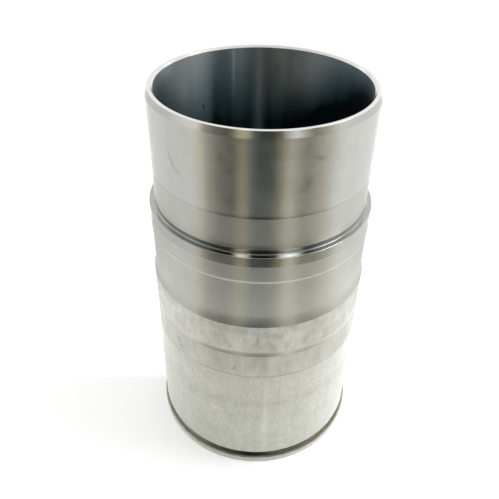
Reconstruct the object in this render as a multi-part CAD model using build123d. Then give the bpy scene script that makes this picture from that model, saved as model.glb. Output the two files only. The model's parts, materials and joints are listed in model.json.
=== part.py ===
"""Wet cylinder liner of a heavy-duty diesel engine.

The liner is one centrifugally cast sleeve, turned, ground and honed on one
axis, so it is one solid: half of its section, revolved about +Z.

It stands upside down, on the flanged end that meets the cylinder head, with
its plain skirt end up. The origin is the centre of the foot, on the axis.
All sizes are in millimetres. Heights are built up from the foot.
"""
from build123d import *
import os

# Bore, and the chamfer at each of its two mouths
bore_radius = 62.5
skirt_mouth_chamfer = 1.1
head_mouth_chamfer = 0.8

# Skirt: the thin guide end, with a lead-in cone below its rim
skirt_wall = 4.65
lead_in_depth = 1.5
lead_in_height = 3.6
guide_length = 45.5
guide_line_depth = 0.12
guide_line_height = 0.4
lower_skirt_length = 23.1

# Seat: the flat ledge that rests on the block, at the top of the collar
seat_width = 3.7
seat_corner_radius = 0.6
seat_edge_chamfer = 0.35

# Collar: a ground land beside the seat, then a land a little smaller
ground_land_length = 6.2
collar_relief_depth = 0.06
collar_relief_length = 11.0

# Waist: a shallow recess under the collar, flared out to the body again
waist_depth = 0.3
waist_length = 26.0
flare_height = 8.6
flare_width = 1.4

# Body: the lands of the water-cooled wall, split by a groove, a step and a cone
flare_land_length = 22.0
body_groove_depth = 0.45
body_groove_height = 3.6
middle_land_length = 18.7
rough_step = 0.15
rough_land_length = 24.9
register_step = 0.55
register_cone_height = 6.0
register_length = 52.5

# Groove between the body and the flange, with a rounded root
flange_groove_height = 4.9
flange_groove_depth = 1.5
flange_groove_fillet = 0.6

# Flange: the thin ring at the head end
flange_projection = 1.6
flange_height = 5.2
flange_edge_chamfer = 0.4
foot_edge_chamfer = 0.6


# Radii, from the bore outwards
skirt_radius = bore_radius + skirt_wall
rim_radius = skirt_radius - lead_in_depth
guide_line_radius = skirt_radius - guide_line_depth
collar_radius = skirt_radius + seat_width
collar_relief_radius = collar_radius - collar_relief_depth
waist_radius = collar_relief_radius - waist_depth
upper_body_radius = waist_radius + flare_width
body_groove_radius = upper_body_radius - body_groove_depth
rough_body_radius = upper_body_radius + rough_step
register_radius = rough_body_radius + register_step
flange_groove_radius = register_radius - flange_groove_depth
flange_radius = register_radius + flange_projection

# Heights, from the foot upwards
register_bottom = flange_height + flange_groove_height
register_top = register_bottom + register_length
rough_land_bottom = register_top + register_cone_height
rough_land_top = rough_land_bottom + rough_land_length
body_groove_bottom = rough_land_top + middle_land_length
body_groove_top = body_groove_bottom + body_groove_height
flare_bottom = body_groove_top + flare_land_length
flare_top = flare_bottom + flare_height
waist_top = flare_top + waist_length
ground_land_bottom = waist_top + collar_relief_length
seat_height = ground_land_bottom + ground_land_length
guide_line_bottom = seat_height + lower_skirt_length
guide_bottom = guide_line_bottom + guide_line_height
lead_in_bottom = guide_bottom + guide_length
rim_height = lead_in_bottom + lead_in_height


def flange_outline():
    """Foot, flange and the groove above it, up to the body's lowest land."""
    foot = Polyline(
        (bore_radius + head_mouth_chamfer, 0),
        (flange_radius - foot_edge_chamfer, 0),
        (flange_radius, foot_edge_chamfer),
        (flange_radius, flange_height - flange_edge_chamfer),
        (flange_radius - flange_edge_chamfer, flange_height),
    )
    groove = FilletPolyline(
        foot @ 1,
        (flange_groove_radius, flange_height),
        (flange_groove_radius, register_bottom),
        (register_radius, register_bottom),
        radius=flange_groove_fillet,
    )
    return [foot, groove]


def body_outline():
    """Body lands, from the flange's groove up to the foot of the flare.

    The register narrows upwards in a shallow cone, and the rough land in a
    45 degree step. The groove's lower flank is an arc that leaves the
    groove's root upright, and its upper flank is square.
    """
    lower = Polyline(
        (register_radius, register_bottom),
        (register_radius, register_top),
        (rough_body_radius, rough_land_bottom),
        (rough_body_radius, rough_land_top - rough_step),
        (upper_body_radius, rough_land_top),
        (upper_body_radius, body_groove_bottom),
    )
    flank = TangentArc(
        (body_groove_radius, body_groove_top),
        lower @ 1,
        tangent=(0, -1),
    )
    upper = Polyline(
        (body_groove_radius, body_groove_top),
        (upper_body_radius, body_groove_top),
        (upper_body_radius, flare_bottom),
    )
    return [lower, flank, upper]


def waist_and_collar_outline():
    """Flare, waist and collar, up to the inner edge of the seat.

    The flare is an arc that leaves the waist upright and meets the body at
    an edge. The waist's upper end is a 45 degree step.
    """
    flare = TangentArc(
        (waist_radius, flare_top),
        (upper_body_radius, flare_bottom),
        tangent=(0, -1),
    )
    collar = Polyline(
        (waist_radius, flare_top),
        (waist_radius, waist_top - waist_depth),
        (collar_relief_radius, waist_top),
        (collar_relief_radius, ground_land_bottom - collar_relief_depth),
        (collar_radius, ground_land_bottom),
        (collar_radius, seat_height - seat_edge_chamfer),
        (collar_radius - seat_edge_chamfer, seat_height),
        (skirt_radius + seat_corner_radius, seat_height),
    )
    return [flare, collar]


def skirt_outline():
    """Lower skirt, guide land, lead-in cone and rim.

    The skirt leaves the seat in a small round corner. A fine turned line,
    square above and sloped below, parts the guide land from the lower skirt.
    """
    corner = RadiusArc(
        (skirt_radius + seat_corner_radius, seat_height),
        (skirt_radius, seat_height + seat_corner_radius),
        seat_corner_radius,
    )
    skirt = Polyline(
        (skirt_radius, seat_height + seat_corner_radius),
        (skirt_radius, guide_line_bottom),
        (guide_line_radius, guide_bottom),
        (skirt_radius, guide_bottom),
        (skirt_radius, lead_in_bottom),
        (rim_radius, rim_height),
        (bore_radius + skirt_mouth_chamfer, rim_height),
    )
    return [corner, skirt]


def bore_outline():
    """Skirt mouth, honed bore and head-end mouth, back to the foot."""
    return [
        Polyline(
            (bore_radius + skirt_mouth_chamfer, rim_height),
            (bore_radius, rim_height - skirt_mouth_chamfer),
            (bore_radius, head_mouth_chamfer),
            (bore_radius + head_mouth_chamfer, 0),
        )
    ]


def cylinder_liner():
    """The whole liner: its closed half section, revolved about its axis."""
    edges = (
        flange_outline()
        + body_outline()
        + waist_and_collar_outline()
        + skirt_outline()
        + bore_outline()
    )
    outline = Wire([edge for curve in edges for edge in curve.edges()])
    section = Plane.XZ * make_face(outline)
    return revolve(section, axis=Axis.Z)


os.makedirs("parts", exist_ok=True)
export_step(cylinder_liner(), "parts/cylinder_liner.step")
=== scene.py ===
"""A wet cylinder liner, upside down on its flanged end, on a pale studio table.

The liner is one turned piece. Its skin is one fine lathe surface with the
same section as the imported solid, and each land has the finish it was given:
ground, fine-turned, blasted or honed. The section is in millimetres, as on
a drawing, and the surface, lights and camera are in metres.
"""
import json
import math
import bpy
import numpy as np
from mathutils import Matrix, Vector


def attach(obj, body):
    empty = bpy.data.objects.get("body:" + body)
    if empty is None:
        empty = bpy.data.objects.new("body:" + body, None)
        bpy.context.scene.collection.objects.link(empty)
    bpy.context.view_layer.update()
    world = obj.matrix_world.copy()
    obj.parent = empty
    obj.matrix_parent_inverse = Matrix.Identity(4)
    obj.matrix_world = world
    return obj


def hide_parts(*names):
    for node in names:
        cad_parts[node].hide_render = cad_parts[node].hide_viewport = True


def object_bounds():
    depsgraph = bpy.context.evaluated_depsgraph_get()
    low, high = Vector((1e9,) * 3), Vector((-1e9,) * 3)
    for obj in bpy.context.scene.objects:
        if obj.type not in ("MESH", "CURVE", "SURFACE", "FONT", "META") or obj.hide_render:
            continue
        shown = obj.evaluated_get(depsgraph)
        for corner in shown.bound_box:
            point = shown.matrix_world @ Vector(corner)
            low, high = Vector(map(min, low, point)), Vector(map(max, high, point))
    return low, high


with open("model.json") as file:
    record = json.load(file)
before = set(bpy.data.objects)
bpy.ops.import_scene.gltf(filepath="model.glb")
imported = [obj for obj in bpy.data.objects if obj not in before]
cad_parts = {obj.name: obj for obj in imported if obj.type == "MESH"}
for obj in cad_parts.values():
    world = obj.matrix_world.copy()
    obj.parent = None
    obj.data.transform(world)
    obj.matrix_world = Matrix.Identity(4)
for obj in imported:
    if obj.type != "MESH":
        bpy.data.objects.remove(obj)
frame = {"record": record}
cad_low, cad_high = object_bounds()

MM = 0.001

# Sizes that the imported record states, in millimetres
mounts = {mount["name"]: mount for mount in frame["record"]["mounts"]}
BORE_R = mounts["bore"]["dims"]["r_mm"]
SKIRT_R = mounts["skirt"]["dims"]["r_mm"]
REGISTER_R = mounts["register"]["dims"]["r_mm"]
FLANGE_R = -cad_low[0] / MM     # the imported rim's flats reach a hair less than its radius
SEAT_Z = mounts["block_seat"]["pos_m"][2] / MM
RIM_Z = mounts["skirt_rim"]["pos_m"][2] / MM

# Chamfers, fillets and rounded edges
MOUTH_CHAMFER = 1.1
FOOT_MOUTH_CHAMFER = 0.8
FOOT_CHAMFER = 0.6
FLANGE_ROUND = 0.4
GROOVE_FILLET = 0.6
SEAT_FILLET = 0.6
SEAT_ROUND = 0.5
BROKEN_EDGE = 0.15      # every other outer corner, just broken

# Radii of the other lands
RIM_R = SKIRT_R - 1.5
MOUTH_R = BORE_R + MOUTH_CHAMFER
FOOT_MOUTH_R = BORE_R + FOOT_MOUTH_CHAMFER
LINE_R = SKIRT_R - 0.12
COLLAR_R = SKIRT_R + 3.7
RELIEF_R = COLLAR_R - 0.06
WAIST_R = RELIEF_R - 0.3
BODY_R = WAIST_R + 1.4
BODY_GROOVE_R = BODY_R - 0.45
ROUGH_R = BODY_R + 0.15
FLANGE_GROOVE_R = REGISTER_R - 1.5
GROOVE_CORNER_R = FLANGE_GROOVE_R + GROOVE_FILLET

# Heights above the foot where one land ends and the next begins
FLANGE_Z = 5.2
REGISTER_Z = (10.1, 62.6)
ROUGH_Z = (68.6, 93.5)
ROUGH_STEP_Z = ROUGH_Z[1] - 0.5
MIDDLE_TOP_Z = 112.2
GROOVE_TOP_Z = 115.8
FLARE_Z = (137.8, 146.4)
WAIST_STEP_Z = (171.3, 173.0)
RELIEF_Z = (183.34, 183.4)
POLISHED_TOP_Z = SEAT_Z + 3.1
LINE_Z = (212.7, 213.1)
GUIDE_TOP_Z = RIM_Z - 3.6


def linear(hex_colour):
    """An sRGB hex colour such as "8A8C88" as linear red, green, blue, alpha."""
    srgb = np.array([int(hex_colour[i:i + 2], 16) for i in (0, 2, 4)]) / 255
    rgb = np.where(srgb <= 0.04045, srgb / 12.92, ((srgb + 0.055) / 1.055) ** 2.4)
    return (*rgb.tolist(), 1.0)


# Colours of what the iron reflects: near white, tinted like wood, walls, sky and lamps
BROWN = "FFFAEC"
BEIGE = "FFEFC4"
SLATE = "EAFFFC"
WARM = "FFF6E2"
WHITE = "FFFFFF"


def add(tree, kind, settings=None, *places, **named):
    """Adds a node with its settings, and sets or links its inputs.

    places are its first inputs, in their order. The others are named, with
    underscores for spaces. An input given as a socket is linked.
    """
    node = tree.nodes.new(kind)
    for name, value in (settings or {}).items():
        setattr(node, name, value)
    inputs = dict(enumerate(places))
    inputs.update((name.replace("_", " "), value) for name, value in named.items())
    for key, value in inputs.items():
        if isinstance(value, bpy.types.NodeSocket):
            tree.links.new(value, node.inputs[key])
        else:
            node.inputs[key].default_value = value
    return node


def new_material(name):
    """An empty node material and its tree."""
    material = bpy.data.materials.new(name)
    material.use_nodes = True
    material.node_tree.nodes.clear()
    return material, material.node_tree


# ---------------------------------------------------------------- section

STEP = 6.0          # longest straight step along the section, in mm
ARC_STEP = 4.0      # largest turn of one step along an arc, in degrees
SEGMENTS = 320      # steps around the axis
SHARP_ANGLE = 6.0   # an edge that turns more than this is shaded as a corner, in degrees
RIM_TURN = 66.0     # turn of the rim's broken edge, from the lead-in cone to the rim, in degrees


def straight(start, end):
    """Points on the line from start to end, without the start, evenly spaced."""
    steps = max(1, math.ceil(math.dist(start, end) / STEP))
    return start + (end - start) * np.linspace(0, 1, steps + 1)[1:, None]


def arc(start, end, turn):
    """Points on a circular arc from start to end, without the start.

    The heading turns by turn degrees, to the left if positive. It starts at
    the chord's own heading less half the turn, and the radius is the chord
    over twice the sine of half the turn.
    """
    steps = max(2, math.ceil(abs(turn) / ARC_STEP))
    half = math.radians(turn) / 2
    chord = end - start
    radius = math.hypot(*chord) / (2 * math.sin(half))
    first = math.atan2(chord[1], chord[0]) - half
    heading = first + np.linspace(0, 2 * half, steps + 1)[1:]
    around = np.stack([np.sin(heading), -np.cos(heading)], axis=1)
    return start + radius * (around - (math.sin(first), -math.cos(first)))


def section():
    """The half section as rings and the finish of each strip between them.

    It is a closed loop of (radius, height), from the foot's inner edge out
    along the foot, up the outside, over the rim and down the bore. Each row
    gives a finish, the next corner and, for an arc, how far it turns.
    """
    flare_turn = 2 * math.degrees(math.atan2(BODY_R - WAIST_R, FLARE_Z[1] - FLARE_Z[0]))
    cove_turn = 2 * math.degrees(math.atan2(BODY_R - BODY_GROOVE_R, GROOVE_TOP_Z - MIDDLE_TOP_Z))
    rows = [
        ("faced", FLANGE_R - FOOT_CHAMFER, 0, 0),
        ("faced", FLANGE_R, FOOT_CHAMFER, 0),
        ("blasted", FLANGE_R, FLANGE_Z - FLANGE_ROUND, 0),
        ("blasted", FLANGE_R - FLANGE_ROUND, FLANGE_Z, 90),
        ("blasted", REGISTER_R, FLANGE_Z, 0),
        ("groove", GROOVE_CORNER_R, FLANGE_Z, 0),
        ("groove", FLANGE_GROOVE_R, FLANGE_Z + GROOVE_FILLET, -90),
        ("groove", FLANGE_GROOVE_R, REGISTER_Z[0] - GROOVE_FILLET, 0),
        ("groove", GROOVE_CORNER_R, REGISTER_Z[0], -90),
        ("groove", REGISTER_R - BROKEN_EDGE, REGISTER_Z[0], 0),
        ("blasted", REGISTER_R, REGISTER_Z[0] + BROKEN_EDGE, 90),
        ("blasted", REGISTER_R, REGISTER_Z[1], 0),
        ("blasted", ROUGH_R, ROUGH_Z[0], 0),
        ("blasted", ROUGH_R, ROUGH_STEP_Z, 0),
        ("blasted", BODY_R, ROUGH_Z[1], 0),
        ("scraped", BODY_R, MIDDLE_TOP_Z, 0),
        ("cove", BODY_GROOVE_R, GROOVE_TOP_Z, -cove_turn),
        ("cove", BODY_R - BROKEN_EDGE, GROOVE_TOP_Z, 0),
        ("cast", BODY_R, GROOVE_TOP_Z + BROKEN_EDGE, 90),
        ("cast", BODY_R, FLARE_Z[0], 0),
        ("turned", WAIST_R, FLARE_Z[1], -flare_turn),
        ("turned", WAIST_R, WAIST_STEP_Z[0], 0),
        ("turned", RELIEF_R, WAIST_STEP_Z[1], 0),
        ("turned", RELIEF_R, RELIEF_Z[0], 0),
        ("bright", COLLAR_R, RELIEF_Z[1], 0),
        ("bright", COLLAR_R, SEAT_Z - SEAT_ROUND, 0),
        ("bright", COLLAR_R - SEAT_ROUND, SEAT_Z, 90),
        ("seat", SKIRT_R + SEAT_FILLET, SEAT_Z, 0),
        ("seat", SKIRT_R, SEAT_Z + SEAT_FILLET, -90),
        ("seat", SKIRT_R, POLISHED_TOP_Z, 0),
        ("turned", SKIRT_R, LINE_Z[0], 0),
        ("turned", LINE_R, LINE_Z[1], 0),
        ("ground", SKIRT_R, LINE_Z[1], 0),
        ("ground", SKIRT_R, GUIDE_TOP_Z, 0),
        ("bright", RIM_R, RIM_Z - BROKEN_EDGE, 0),
        ("faced", RIM_R - BROKEN_EDGE, RIM_Z, RIM_TURN),
        ("faced", MOUTH_R, RIM_Z, 0),
        ("faced", BORE_R, RIM_Z - MOUTH_CHAMFER, 0),
        ("honed", BORE_R, FOOT_MOUTH_CHAMFER, 0),
        ("faced", FOOT_MOUTH_R, 0, 0),
    ]
    points = [np.array([[FOOT_MOUTH_R, 0.0]])]
    finishes = []
    for finish, radius, height, turn in rows:
        start, end = points[-1][-1], np.array([radius, height], float)
        run = arc(start, end, turn) if turn else straight(start, end)
        points.append(run)
        finishes += [finish] * len(run)
    return np.concatenate(points)[:-1], finishes


def lathe(name, rings, finishes, materials):
    """One closed skin: the loop of rings turned about the Z axis.

    Ring i at step j is (r_i cos a_j, r_i sin a_j, z_i), with a_j evenly
    spaced over a full turn. Its UV is the way round at the skirt's radius
    and the way along the loop, both in metres, so a pattern keeps its scale.
    """
    count = len(rings)
    angle = np.linspace(0, 2 * np.pi, SEGMENTS, endpoint=False)
    radius, height = rings[:, :1] * MM, rings[:, 1:] * MM
    skin = np.stack([radius * np.cos(angle), radius * np.sin(angle), height + 0 * angle], axis=2)
    i, j = np.meshgrid(np.arange(count), np.arange(SEGMENTS), indexing="ij")
    ring, next_ring = i * SEGMENTS, (i + 1) % count * SEGMENTS
    next_j = (j + 1) % SEGMENTS
    quads = np.stack([ring + j, ring + next_j, next_ring + next_j, next_ring + j], 2)
    mesh = bpy.data.meshes.new(name)
    mesh.from_pydata(skin.reshape(-1, 3), [], quads.reshape(-1, 4))
    strips = np.linalg.norm(np.diff(rings, axis=0, append=rings[:1]), axis=1)
    along = np.concatenate([[0], np.cumsum(strips)])
    around = 2 * np.pi * SKIRT_R * np.arange(SEGMENTS + 1) / SEGMENTS
    u = np.stack([around[j], around[j + 1], around[j + 1], around[j]], 2)
    v = np.stack([along[i], along[i], along[i + 1], along[i + 1]], 2)
    uv = mesh.uv_layers.new(name="wrap")
    uv.data.foreach_set("uv", (np.stack([u, v], 3) * MM).ravel())
    for material in materials.values():
        mesh.materials.append(material)
    names = list(materials)
    index = np.repeat([names.index(finish) for finish in finishes], SEGMENTS)
    mesh.polygons.foreach_set("material_index", index.astype(np.int32))
    mesh.shade_smooth()
    mesh.set_sharp_from_angle(angle=math.radians(SHARP_ANGLE))
    mesh.update()
    piece = bpy.data.objects.new(name, mesh)
    bpy.context.scene.collection.objects.link(piece)
    return piece


# ---------------------------------------------------------------- finishes

MARK_DEPTH_MM = 8.0         # how far a mark reaches through the surface, at least
RAGGED_GRAIN_MM = 3.0       # grain of the noise that frays a mark's edge
RAGGED_SHIFT_MM = 2.0       # and how far it moves the edge
MARK_DULLING = 0.03         # roughness that a mark of strength 1 adds
DARKEST = 0.06              # the least share of its colour that the iron keeps
LEAST_SATURATION = 0.5      # the least share of its saturation
GRAIN_TURN = 0.25           # a quarter turn, which lays the tool marks round the liner


def grain(tree, around_mm, along_mm, detail=3.0, seed=0.0):
    """Noise with grains around_mm long round the liner and along_mm high.

    seed moves the pattern, so that two noises of one size differ.
    """
    uv = add(tree, "ShaderNodeUVMap", {"uv_map": "wrap"}).outputs["UV"]
    scale = (1 / (around_mm * MM), 1 / (along_mm * MM), 1)
    shift = (seed, seed, seed)
    placed = add(tree, "ShaderNodeMapping", Vector=uv, Scale=scale, Location=shift).outputs[0]
    noise = add(tree, "ShaderNodeTexNoise", Vector=placed, Scale=1.0, Detail=detail, Roughness=0.6)
    return noise.outputs["Fac"]


def layered(tree, *layers):
    """The sum of weight * (pattern - 0.5) over layers of (pattern, weight)."""
    total = -sum(weight for _, weight in layers) / 2
    for pattern, weight in layers:
        total = add(tree, "ShaderNodeMath", {"operation": "MULTIPLY_ADD"}, pattern, weight, total).outputs[0]
    return total


def by_height(tree, start_mm, end_mm, amount):
    """A straight blend, from 0 at the start height to amount at the end height."""
    place = add(tree, "ShaderNodeTexCoord").outputs["Object"]
    height = add(tree, "ShaderNodeSeparateXYZ", Vector=place).outputs["Z"]
    return add(
        tree, "ShaderNodeMapRange", Value=height, From_Min=start_mm * MM, From_Max=end_mm * MM, To_Max=amount
    ).outputs[0]


def marks_and_painted_light_mask(tree, radius, marks):
    """How strongly the listed marks show at a point, as one sum.

    A mark is (azimuth, height, width, length, tilt, strength): a soft
    ellipse on the surface, in degrees from the front, millimetres and
    degrees. Its mask falls as the square from its strength at its centre to
    0 at its edge. Some marks are real and some are painted shade, and a
    strength below 0 makes a lighter place, which is painted light. A
    little noise in the position makes the edge ragged.
    """
    place = add(tree, "ShaderNodeTexCoord").outputs["Object"]
    ragged = add(
        tree, "ShaderNodeTexNoise", Vector=place, Scale=1 / (RAGGED_GRAIN_MM * MM), Detail=3.0
    ).outputs["Color"]
    middle = (0.5, 0.5, 0.5)
    away = add(tree, "ShaderNodeVectorMath", {"operation": "SUBTRACT"}, ragged, middle).outputs[0]
    shift = add(
        tree, "ShaderNodeVectorMath", {"operation": "SCALE"}, away, Scale=RAGGED_SHIFT_MM * MM
    ).outputs[0]
    moved = add(tree, "ShaderNodeVectorMath", {"operation": "ADD"}, place, shift).outputs[0]
    total = 0.0
    for azimuth, height, width, length, tilt, strength in marks:
        turn = math.radians(azimuth)
        centre = (radius * MM * math.sin(turn), -radius * MM * math.cos(turn), height * MM)
        reach = (width / 2 * MM, max(MARK_DEPTH_MM, width / 2) * MM, length / 2 * MM)
        local = add(
            tree, "ShaderNodeMapping", {"vector_type": "TEXTURE"}, Vector=moved, Location=centre,
            Rotation=(0, math.radians(tilt), turn), Scale=reach,
        ).outputs[0]
        ball = add(
            tree, "ShaderNodeTexGradient", {"gradient_type": "QUADRATIC_SPHERE"}, Vector=local
        ).outputs["Fac"]
        total = add(tree, "ShaderNodeMath", {"operation": "MULTIPLY_ADD"}, ball, strength, total).outputs[0]
    return total


def bare_iron(name, colour, roughness, anisotropic, pattern, radius=0, marks=(), dust=0.0):
    """Bare iron whose tool marks run round the liner.

    pattern(tree) gives four values: how much lighter than the colour, how
    much rougher than the roughness, the relief and its depth in millimetres.
    The tool marks smear a reflection along the liner's axis, so what stands
    in front of it shows as upright bands. The listed marks darken the iron
    and dull it; some are real marks and some painted shade, and those with a
    strength below 0 are painted light and lighten it. dust is the share of a
    pale bloom that shows where the surface turns away from the eye.

    With t the pattern's lightness less the marks, the colour is scaled by
    1 + t and its saturation by 1 - 2 t, so lighter iron is greyer.
    """
    material, tree = new_material(name)
    tone, rough, relief, depth_mm = pattern(tree)
    if marks:
        # The mask holds real marks together with painted light and painted shade
        mask = marks_and_painted_light_mask(tree, radius, marks)
        tone = add(tree, "ShaderNodeMath", {"operation": "SUBTRACT"}, tone, mask).outputs[0]
        dark = add(tree, "ShaderNodeMath", {"operation": "MAXIMUM"}, mask, 0.0).outputs[0]
        rough = add(
            tree, "ShaderNodeMath", {"operation": "MULTIPLY_ADD"}, dark, MARK_DULLING, rough
        ).outputs[0]
    value = add(tree, "ShaderNodeMath", {"operation": "ADD"}, tone, 1.0).outputs[0]
    saturation = add(tree, "ShaderNodeMath", {"operation": "MULTIPLY_ADD"}, tone, -2.0, 1.0).outputs[0]
    tint = add(
        tree, "ShaderNodeHueSaturation", Color=linear(colour),
        Value=add(tree, "ShaderNodeMath", {"operation": "MAXIMUM"}, value, DARKEST).outputs[0],
        Saturation=add(
            tree, "ShaderNodeMath", {"operation": "MAXIMUM"}, saturation, LEAST_SATURATION
        ).outputs[0],
    )
    bump = add(tree, "ShaderNodeBump", Height=relief, Distance=depth_mm * MM)
    tangent = add(tree, "ShaderNodeTangent", {"direction_type": "UV_MAP", "uv_map": "wrap"})
    shader = add(
        tree, "ShaderNodeBsdfPrincipled", Base_Color=tint.outputs[0], Metallic=1.0,
        Roughness=add(tree, "ShaderNodeMath", {"operation": "ADD"}, rough, roughness).outputs[0],
        Anisotropic=anisotropic, Anisotropic_Rotation=GRAIN_TURN, Tangent=tangent.outputs[0],
        Normal=bump.outputs[0], Sheen_Weight=dust,
    )
    add(tree, "ShaderNodeOutputMaterial", Surface=shader.outputs[0])
    return material


# The real lines of a grinding wheel, a fine tool or a hone are under 0.1 mm
# wide, too fine to show: they are drawn 0.4 to 0.8 mm wide.

def fine_lines(tree):
    """A wheel's or tool's fine lines round the liner, with faint upright cloudiness.

    Just above the turned line the guide land's foot is polished, and painted
    shade darkens it along the line: up to 0.12 darker and 0.16 less rough,
    most just over the line's lower edge and nothing 2 mm above the line.
    """
    lines = grain(tree, 90, 0.5)
    wide_lines = grain(tree, 60, 3, seed=5.0)
    cloud = grain(tree, 9, 16, seed=9.0)
    tone = layered(tree, (lines, 0.08), (wide_lines, 0.10), (cloud, 0.16))
    rough = layered(tree, (wide_lines, 0.12), (cloud, 0.10))
    peak = LINE_Z[0] + 0.2
    below = by_height(tree, LINE_Z[0], peak, 1.0)
    above = by_height(tree, LINE_Z[1] + 2.0, peak, 1.0)
    polish_and_painted_shade = add(tree, "ShaderNodeMath", {"operation": "MINIMUM"}, below, above).outputs[0]
    # Painted shade: the strip along the turned line is drawn up to 0.12 darker
    tone = add(tree, "ShaderNodeMath", {"operation": "MULTIPLY_ADD"}, polish_and_painted_shade, -0.12, tone).outputs[0]
    rough = add(tree, "ShaderNodeMath", {"operation": "MULTIPLY_ADD"}, polish_and_painted_shade, -0.16, rough).outputs[0]
    return tone, rough, lines, 0.0006


def blasted_grain(tree):
    """A grit-blasted skin: soft upright flecks a few millimetres long over wider clouds.

    Long upright columns and fine waves round the liner lie under them.
    It grows darker towards the foot: a straight blend from 0 at
    80 mm up to 0.17 darker at 10 mm.
    """
    fleck = grain(tree, 1.8, 4.5, detail=2.0)
    cloud = grain(tree, 6, 12, detail=3.0, seed=3.0)
    column = grain(tree, 5, 160, detail=2.0, seed=7.0)
    wave = grain(tree, 50, 2.5, detail=2.0, seed=12.0)
    tone = layered(tree, (fleck, 0.42), (cloud, 0.45), (column, 0.30), (wave, 0.16))
    # Darker towards the foot, by a straight blend in height
    darker_towards_foot = by_height(tree, 80, 10, -0.17)
    tone = add(tree, "ShaderNodeMath", {"operation": "ADD"}, tone, darker_towards_foot).outputs[0]
    return tone, layered(tree, (cloud, 0.2), (column, 0.2)), fleck, 0.03


def cast_grain(tree):
    """A cleaned casting skin: ragged pale and dull patches, with small pits."""
    patch = grain(tree, 5, 7, detail=4.0, seed=11.0)
    fleck = grain(tree, 1.6, 3.2, seed=2.0)
    field = grain(tree, 14, 30, detail=2.0, seed=6.0)
    tone = layered(tree, (patch, 0.40), (fleck, 0.22), (field, 0.25))
    return tone, layered(tree, (patch, -0.35), (field, -0.3)), patch, 0.06


def scraped_grain(tree):
    """A light skim cut over the casting: upright smears and a few dull flecks."""
    smear = grain(tree, 3.5, 14, seed=4.0)
    fleck = grain(tree, 1.8, 3.2, seed=8.0)
    field = grain(tree, 12, 40, detail=2.0, seed=1.0)
    tone = layered(tree, (smear, 0.16), (fleck, 0.10), (field, 0.22))
    return tone, layered(tree, (smear, -0.2), (field, -0.3)), fleck, 0.02


def plain_grain(tree):
    """A small machined face: fine lines only."""
    lines = grain(tree, 60, 0.4)
    return layered(tree, (lines, 0.08)), layered(tree, (lines, 0.1)), lines, 0.0004


def grimy_grain(tree):
    """The bottom of a groove, with dried oil and dust in uneven stretches."""
    grime = grain(tree, 14, 2)
    return layered(tree, (grime, 0.7)), layered(tree, (grime, 0.2)), grime, 0.01


def honed_grain(tree):
    """A plateau hone's fine scratches round the bore, with a soft upright unevenness.

    Painted shade darkens the wall downwards into the bore: a straight blend
    from 0 at the rim to 0.9 darker at 209 mm, about as deep as the eye gets.
    """
    cloud = grain(tree, 9, 90, detail=1.0, seed=2.0)
    lines = grain(tree, 14, 0.8)
    tone = layered(tree, (cloud, 0.2), (lines, 0.08))
    # Painted shade that deepens down the bore
    painted_depth_shade = by_height(tree, 262, 209, -0.9)
    tone = add(tree, "ShaderNodeMath", {"operation": "ADD"}, tone, painted_depth_shade).outputs[0]
    return tone, layered(tree, (cloud, 0.06)), lines, 0.0008


# A curved scratch on the left, a short tick and smudges on the right, a few more left of centre
GUIDE_MARKS = (
    (-46.8, 239, 3.4, 15, -20, 0.16), (-44.4, 234, 3.6, 16, -30, 0.24), (-41, 230.5, 3.4, 13, -50, 0.20),
    (26.2, 246, 12, 4.6, 15, 0.36), (21.2, 233, 9.0, 13, 15, 0.26), (19.1, 229, 11, 11, 0, 0.22),
    (-17.4, 246.5, 8.0, 12, 0, 0.26), (-13.9, 240.5, 10, 14, 0, 0.28), (-13.1, 222.5, 11, 14, 0, 0.26),
)
# A fine upright tick, two dabs under it, and three faint broad stains
BODY_MARKS = (
    (0.9, 127, 1.4, 18, 0, 0.40), (-13, 119.5, 5.0, 1.8, 25, 0.30), (-11, 121, 2.5, 1.6, 0, 0.30),
    (-18, 133, 12, 9.0, 20, 0.12), (-9, 131, 9.0, 10, -15, 0.12), (10, 131, 5.0, 12, -20, 0.12),
)
# Ticks where the skim cut left off, on the left and near the middle, and two faint stains
MIDDLE_MARKS = (
    (-45, 104, 3.2, 9.0, -35, 0.5), (-43.2, 99.4, 3.4, 8.0, -35, 0.5), (-38, 91, 3.0, 5.0, 20, 0.4),
    (-10.7, 100, 3.0, 8.0, 0, 0.5), (-19, 104, 12, 13, 0, 0.08), (17, 104, 12, 12, 0, 0.08),
)
# Upright stretches of painted light, drawn lighter where reflections fall, beside darker stretches of painted
# shade, and one black tick
BORE_PAINTED_LIGHT_SHADE_AND_TICK = (
    (235, 240, 80, 130, 0, -0.7), (182.7, 235, 15, 260, 0, -1.2), (199, 250, 5, 70, 0, -0.6),
    (211, 235, 16, 180, 0, 0.25), (158, 246, 74, 100, 0, -1.1), (98, 241, 130, 72, 0, 1.25),
    (138, 219, 96, 68, 0, 0.7), (172, 248, 18, 70, 0, 0.4), (160, 254, 20, 60, 0, -0.35),
    (219.9, 225.4, 1.2, 6.0, 0, 2.5),
)
# Painted shade over the front of the cove's upper half, under the ledge
COVE_PAINTED_SHADE = ((0, 114.9, 120, 6.0, 0, 0.40),)
# One upright painted highlight, a lighter stripe, and faint broad darker patches all round the front
REGISTER_PAINTED_HIGHLIGHT_AND_PATCHES = (
    (6.3, 45, 9.0, 150, 0, -0.18), (1, 40, 10, 130, 0, 0.05), (-8.5, 52, 34, 26, 20, 0.08),
    (-25, 28, 34, 30, -20, 0.10), (12, 66, 26, 9, 15, 0.10), (-20, 66, 30, 8, -15, 0.10),
    (-38, 60, 16, 30, 30, 0.10), (24, 48, 20, 26, -30, 0.08), (-4, 78, 16, 10, 0, 0.10),
)
# Painted shade, nearly black, along the front of the groove
GROOVE_PAINTED_SHADE = ((-3, 7.6, 86, 60, 0, 0.75),)
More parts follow.
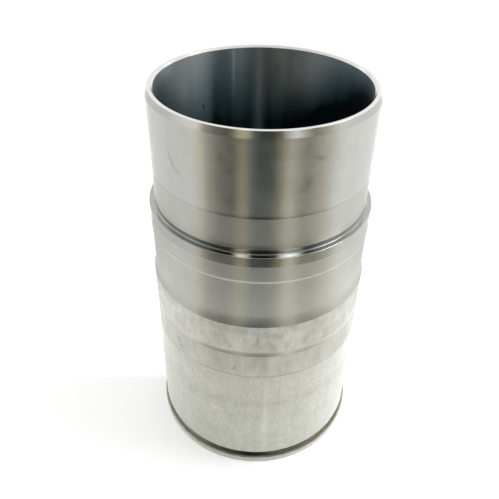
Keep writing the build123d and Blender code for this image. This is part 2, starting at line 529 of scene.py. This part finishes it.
# Knocks low on the collar, far on the left
COLLAR_MARKS = (
    (-71, 187, 2.0, 3.0, 0, 0.8), (-66, 184, 2.5, 1.5, 0, 0.6), (-45, 183, 2.5, 3.0, 0, 0.14),
)

finishes = {
    # Guide land: satin, with what stands in front drawn out into tall soft bands
    "ground": bare_iron("ground_iron", "CACBC5", 0.24, 0.95, fine_lines, SKIRT_R, GUIDE_MARKS),
    # Collar and lead-in cone: the same bands, crisp and nearly mirrored
    "bright": bare_iron("bright_ground_iron", "BFC0BA", 0.15, 0.93, plain_grain, COLLAR_R, COLLAR_MARKS),
    # Lower skirt, relief, waist and flare: a softer grey, the bands just seen
    "turned": bare_iron("fine_turned_iron", "C6C7C0", 0.35, 0.86, fine_lines),
    # Cove: a thin pale line, brownish where its painted shade lies
    "cove": bare_iron("turned_cove_iron", "D8D7CF", 0.30, 0.88, plain_grain, BODY_R, COVE_PAINTED_SHADE),
    # Middle land: matt grey with upright smears and ticks
    "scraped": bare_iron("skimmed_iron", "CFD0C9", 0.55, 0.5, scraped_grain, BODY_R, MIDDLE_MARKS),
    # Upper body land: pale and ragged, with dull patches
    "cast": bare_iron("cast_skin_iron", "D9DAD4", 0.58, 0.4, cast_grain, BODY_R, BODY_MARKS),
    # Rough land, register and flange: dusty, pale and flecked, darker towards the foot, with a painted
    # highlight on the register
    "blasted": bare_iron(
        "blasted_iron", "C7C8BF", 0.60, 0.3, blasted_grain, REGISTER_R, REGISTER_PAINTED_HIGHLIGHT_AND_PATCHES, dust=0.8,
    ),
    # Seat and the skirt's polished foot: a dark mirror with two bright glints
    "seat": bare_iron("lapped_seat_iron", "B0B1AD", 0.10, 0.6, plain_grain),
    # Rim, mouth chamfers and foot: clean, bright, close to white
    "faced": bare_iron("faced_iron", "E2E2DF", 0.18, 0.7, plain_grain),
    # Flange groove: oil and dust, uneven, and nearly black at the front with painted shade
    "groove": bare_iron("grimy_groove_iron", "A8A69C", 0.24, 0.9, grimy_grain, FLANGE_GROOVE_R, GROOVE_PAINTED_SHADE),
    # Bore: blue-grey, with soft upright streaks of painted light and painted shade, and painted shade that
    # deepens downwards
    "honed": bare_iron("plateau_honed_iron", "8D989C", 0.43, 0.96, honed_grain, BORE_R, BORE_PAINTED_LIGHT_SHADE_AND_TICK),
}


# ---------------------------------------------------------------- liner

rings, ring_finishes = section()
liner = lathe("liner_skin", rings, ring_finishes, finishes)
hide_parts("cylinder_liner")
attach(liner, "root")


# ---------------------------------------------------------------- studio

CARD_STEPS = 48             # steps across a card
TABLE_REACH = 6.0           # half the table's width, in metres
TABLE_GLOW = 0.18           # how strongly the whole table glows
TABLE_LIFT = 7.5            # how many times as much more it glows behind, at the sides


def stand(name, mesh):
    """A stage object with this mesh, in the scene."""
    piece = bpy.data.objects.new(name, mesh)
    bpy.context.scene.collection.objects.link(piece)
    return piece


def screen(name, reach, heights, stops):
    """A glowing curved card in front of the liner, seen only in reflections.

    It is part of a cylinder about the liner's axis: the point at (a, z) is
    (reach sin a, -reach cos a, z), in metres, with a from straight in front,
    positive to the right. stops gives its colour and strength at some of its
    angles, in degrees, with straight blends between them.
    """
    first, last = stops[0][0], stops[-1][0]
    angles = np.radians(np.linspace(first, last, CARD_STEPS + 1))
    a, z = np.meshgrid(angles, np.array(heights), indexing="ij")
    points = np.stack([reach * np.sin(a), -reach * np.cos(a), z], 2)
    i = np.arange(CARD_STEPS)
    quads = np.stack([2 * i, 2 * i + 1, 2 * i + 3, 2 * i + 2], 1)
    mesh = bpy.data.meshes.new(name)
    mesh.from_pydata(points.reshape(-1, 3), [], quads)
    share = (i[:, None] + (0, 0, 1, 1)) / CARD_STEPS
    uv = mesh.uv_layers.new(name="card")
    uv.data.foreach_set("uv", np.stack([share, share], 2).ravel())
    material, tree = new_material(name)
    across = add(tree, "ShaderNodeUVMap", {"uv_map": "card"}).outputs[0]
    place = add(tree, "ShaderNodeSeparateXYZ", Vector=across).outputs[0]
    colours = add(tree, "ShaderNodeValToRGB", Fac=place)
    elements = colours.color_ramp.elements
    while len(elements) < len(stops):
        elements.new(1.0)
    for element, (angle, colour, strength) in zip(elements, stops):
        element.position = (angle - first) / (last - first)
        element.color = tuple(strength * channel for channel in linear(colour)[:3]) + (1,)
    glow = add(tree, "ShaderNodeEmission", Color=colours.outputs[0], Strength=1.0)
    add(tree, "ShaderNodeOutputMaterial", Surface=glow.outputs[0])
    mesh.materials.append(material)
    card = stand(name, mesh)
    card.visible_camera = False
    card.visible_diffuse = False
    card.visible_shadow = False


def floor():
    """A wide matt white table top at the foot's height, a little aglow.

    With d the distance from the axis, x that to either side and y that
    behind it, the glow is TABLE_GLOW times the blend in d from 60 to 75 mm,
    so there is none inside the liner. Close behind on both sides it grows by
    TABLE_LIFT times the product of three blends: in d from 210 to 150 mm, in
    y from 0 to 60 mm and in x from 40 to 90 mm. The glow is painted light:
    it lightens the liner's shadow on the table, and its two pools behind
    brighten the liner's sides where they mirror the table.
    """
    r = TABLE_REACH
    mesh = bpy.data.meshes.new("table_top")
    mesh.from_pydata([(-r, -r, 0), (r, -r, 0), (r, r, 0), (-r, r, 0)], [], [(0, 1, 2, 3)])
    material, tree = new_material("matt_white_card")
    place = add(tree, "ShaderNodeTexCoord").outputs["Object"]
    away = add(tree, "ShaderNodeVectorMath", {"operation": "LENGTH"}, place).outputs["Value"]
    parts = add(tree, "ShaderNodeSeparateXYZ", Vector=place).outputs
    aside = add(tree, "ShaderNodeMath", {"operation": "ABSOLUTE"}, parts["X"]).outputs[0]
    lift = TABLE_LIFT
    for value, start_mm, end_mm in ((away, 210, 150), (parts["Y"], 0, 60), (aside, 40, 90)):
        share = add(
            tree, "ShaderNodeMapRange", Value=value, From_Min=start_mm * MM, From_Max=end_mm * MM
        ).outputs[0]
        lift = add(tree, "ShaderNodeMath", {"operation": "MULTIPLY"}, share, lift).outputs[0]
    outside = add(
        tree, "ShaderNodeMapRange", Value=away, From_Min=60 * MM, From_Max=75 * MM, To_Max=TABLE_GLOW
    ).outputs[0]
    # The table's glow is painted light, pooled behind on each side
    glow = add(tree, "ShaderNodeMath", {"operation": "MULTIPLY_ADD"}, outside, lift, outside).outputs[0]
    shader = add(
        tree, "ShaderNodeBsdfPrincipled", Base_Color=linear("FAFAF9"), Roughness=0.9,
        Emission_Color=linear("FFFFFF"), Emission_Strength=glow,
    )
    add(tree, "ShaderNodeOutputMaterial", Surface=shader.outputs[0])
    mesh.materials.append(material)
    stand("table_top", mesh)


floor()

# What stands close in front, as high as the skirt and collar: it shows in the guide land and the skirt
screen("room_low", 0.22, (0.10, 0.29), (
    (-130, WHITE, 0.88), (-112, WHITE, 0.90), (-97, WHITE, 0.88), (-82, WHITE, 0.82), (-60, WHITE, 0.84),
    (-50, WARM, 0.74), (-45, BROWN, 0.42), (-37, BROWN, 0.26), (-29, BROWN, 0.16), (-22, BROWN, 0.14),
    (-15, BEIGE, 0.32), (-9, SLATE, 0.13), (-4, SLATE, 0.06), (9, SLATE, 0.06), (16, BEIGE, 0.24),
    (23, WARM, 0.50), (30, WARM, 0.40), (38, BROWN, 0.28), (46, BROWN, 0.40), (55, WARM, 0.60),
    (65, WHITE, 0.82), (75, WHITE, 0.96), (92, WHITE, 1.0), (112, WHITE, 1.04), (130, WHITE, 1.0),
))
# The same, down to the table: it shows in the collar
screen("room_lowest", 0.22, (0, 0.10), (
    (-130, WHITE, 0.72), (-90, WHITE, 0.76), (-58, WHITE, 0.78), (-51, WARM, 0.66), (-45, BROWN, 0.31),
    (-37, BROWN, 0.17), (-23, BROWN, 0.15), (-15, BEIGE, 0.43), (-11, BEIGE, 0.36), (-6, SLATE, 0.09),
    (8, SLATE, 0.05), (17, BEIGE, 0.28), (23, WARM, 0.70), (28, WARM, 0.74), (36, BROWN, 0.34),
    (48, BROWN, 0.32), (62, WARM, 0.63), (71, WHITE, 0.90), (78, WHITE, 1.02), (112, WHITE, 1.0),
    (130, WHITE, 0.86),
))
# What stands at the liner's own height further off: it shows in the lead-in, and high in the bore
screen("room_middle", 0.35, (0.26, 0.375), (
    (-132, WHITE, 1.25), (-56, WHITE, 1.25), (-49, WARM, 0.58), (-40, BROWN, 0.30), (-29, BROWN, 0.20),
    (-19, BEIGE, 0.58), (-12, BEIGE, 0.70), (-7, SLATE, 0.34), (0, SLATE, 0.12), (8, SLATE, 0.12),
    (15, BEIGE, 0.30), (23, WHITE, 0.80), (29, WHITE, 1.1), (36, WHITE, 0.70), (45, BROWN, 0.42),
    (56, WARM, 0.62), (70, WHITE, 1.2), (132, WHITE, 1.3),
))
# The dim wall above that, lighter on the right: it shows lower in the bore
screen("room_wall", 0.5, (0.40, 0.50), (
    (-150, WHITE, 0.7), (-70, WHITE, 0.7), (-58, SLATE, 0.03), (50, SLATE, 0.03), (70, WHITE, 1.0),
    (120, WHITE, 1.4), (150, WHITE, 0.8),
))
# Two lamps at the wall's top: they show in the seat
screen("room_upper", 0.5, (0.50, 0.60), (
    (-150, WHITE, 1.2), (-121, WHITE, 1.3), (-104, WHITE, 0.7), (-70, SLATE, 0.60), (-54, SLATE, 0.40),
    (-45, BROWN, 0.10), (-30, BROWN, 0.04), (-27, BEIGE, 0.30), (-20, WARM, 3.9), (-15, WARM, 3.4),
    (-7, SLATE, 0.06), (8, SLATE, 0.02), (18, SLATE, 0.30), (26, WHITE, 4.0), (31, WHITE, 5.8),
    (37, WHITE, 5.0), (46, SLATE, 0.7), (50, SLATE, 0.26), (62, SLATE, 0.36), (80, WHITE, 0.80),
    (96, WHITE, 0.95), (112, WHITE, 1.5), (130, WHITE, 1.6), (150, WHITE, 1.1),
))
# A dark band above them, with a window high on the right: it shows down in the bore
screen("window", 0.5, (0.60, 0.80), (
    (-150, WHITE, 1.0), (-75, WHITE, 0.9), (-58, SLATE, 0.0), (-23, SLATE, 0.0), (-17, WARM, 2.4),
    (-12, WARM, 2.4), (-6, SLATE, 0.0), (17, SLATE, 0.0), (24, WHITE, 2.6), (33, WHITE, 2.6),
    (40, SLATE, 0.0), (58, SLATE, 0.0), (66, WHITE, 3.0), (74, WHITE, 6.0), (104, WHITE, 6.0),
    (112, WHITE, 1.0), (150, WHITE, 1.0),
))
# The dark wall goes on up to the ceiling, above the window
screen("dark_wall_top", 0.5, (0.80, 1.1), ((-58, SLATE, 0.0), (52, SLATE, 0.0)))
# A bright line of windows far off at the rim's own height: it shows just under the rim, in the bore
screen("far_windows", 0.24, (0.272, 0.292), (
    (-150, WHITE, 2.0), (-128, WHITE, 3.0), (-108, WHITE, 14), (-64, WHITE, 13), (-46, WARM, 10.0),
    (-30, BROWN, 3.6), (-18, BEIGE, 0.3), (-8, SLATE, 0.2), (10, SLATE, 0.2), (22, WHITE, 2.0),
    (36, WHITE, 2.0), (46, BROWN, 0.7), (58, WARM, 0.7), (72, WHITE, 5.0), (120, WHITE, 6.0),
    (150, WHITE, 5.0),
))


BRIGHT_WAY = (0.6, 0.8, 0)      # back and to the right
SKY_DIM = 0.70
SKY_FULL = 1.10


def sky():
    """A pale room all round, dimmer behind the camera and on the left.

    Its strength is the blend from SKY_DIM to SKY_FULL of (d + 1) / 2, where
    d is the direction's part along BRIGHT_WAY.
    """
    world = bpy.data.worlds.new("pale_studio")
    bpy.context.scene.world = world
    world.use_nodes = True
    tree = world.node_tree
    tree.nodes.clear()
    way = add(tree, "ShaderNodeTexCoord").outputs["Generated"]
    back = add(
        tree, "ShaderNodeVectorMath", {"operation": "DOT_PRODUCT"}, way, BRIGHT_WAY
    ).outputs["Value"]
    strength = add(tree, "ShaderNodeMapRange", Value=back, From_Min=-1.0, To_Min=SKY_DIM, To_Max=SKY_FULL)
    glow = add(tree, "ShaderNodeBackground", Color=linear("FFFFFF"), Strength=strength.outputs[0])
    add(tree, "ShaderNodeOutputWorld", Surface=glow.outputs[0])


def lamp(name, at, target, size, power):
    """A square softbox at a place, facing a target, that no surface mirrors."""
    light = bpy.data.lights.new(name, "AREA")
    light.size = size
    light.energy = power
    box = bpy.data.objects.new(name, light)
    box.location = at
    box.rotation_mode = "QUATERNION"
    box.rotation_quaternion = (Vector(target) - Vector(at)).to_track_quat("-Z", "Y")
    box.visible_glossy = False
    bpy.context.scene.collection.objects.link(box)


sky()
lamp("side_softbox", at=(0.95, 0.15, 1.0), target=(0, 0, 0), size=0.9, power=10)


# ---------------------------------------------------------------- camera

EYE = (0, -0.3079, 0.3764)
YAW = -1.179                # to the right, in degrees
PITCH = 37.291              # down
ROLL = 1.028                # clockwise
FOCAL_SHARE = 556 / 499     # the focal length, in widths of the picture
SENSOR_MM = 36


def camera():
    """The camera stands in front of the liner and looks down into its mouth."""
    yaw, pitch, roll = (math.radians(angle) for angle in (YAW, PITCH, ROLL))
    ahead = Vector((math.sin(yaw) * math.cos(pitch), math.cos(yaw) * math.cos(pitch), -math.sin(pitch)))
    level = Vector((math.cos(yaw), -math.sin(yaw), 0))
    upright = level.cross(ahead)
    right = level * math.cos(roll) + upright * math.sin(roll)
    up = upright * math.cos(roll) - level * math.sin(roll)
    data = bpy.data.cameras.new("camera")
    data.sensor_width = SENSOR_MM
    data.lens = FOCAL_SHARE * SENSOR_MM
    view = bpy.data.objects.new("camera", data)
    turn = Matrix((right, up, -ahead)).transposed().to_4x4()
    view.matrix_world = Matrix.Translation(EYE) @ turn
    bpy.context.scene.collection.objects.link(view)
    bpy.context.scene.camera = view


camera()
bpy.context.scene.view_settings.view_transform = "Standard"
